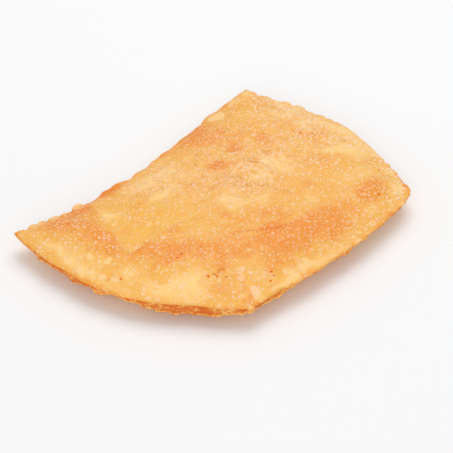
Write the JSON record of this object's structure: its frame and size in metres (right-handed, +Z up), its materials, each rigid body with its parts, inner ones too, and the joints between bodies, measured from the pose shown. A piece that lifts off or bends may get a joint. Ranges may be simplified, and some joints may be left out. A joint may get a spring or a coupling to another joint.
{
  "type": "fried turnover pastry",
  "caption": "Fried pastel: a flat, gently puffed turnover of thin blistered dough, folded along one long side and pressed shut round the other three.",
  "frame": {"origin": "bottom centre of the bounding box, on the floor under the belly", "axes": "+X along the folded edge, +Y towards the folded edge, +Z up"},
  "size_m": [0.2084, 0.149, 0.0224],
  "materials": {
    "fried_dough": "golden fried dough with pale blisters, orange-brown patches and a thin film of oil"
  },
  "bodies": {
    "root": {"pastel": "fried_dough"}
  },
  "joints": []
}
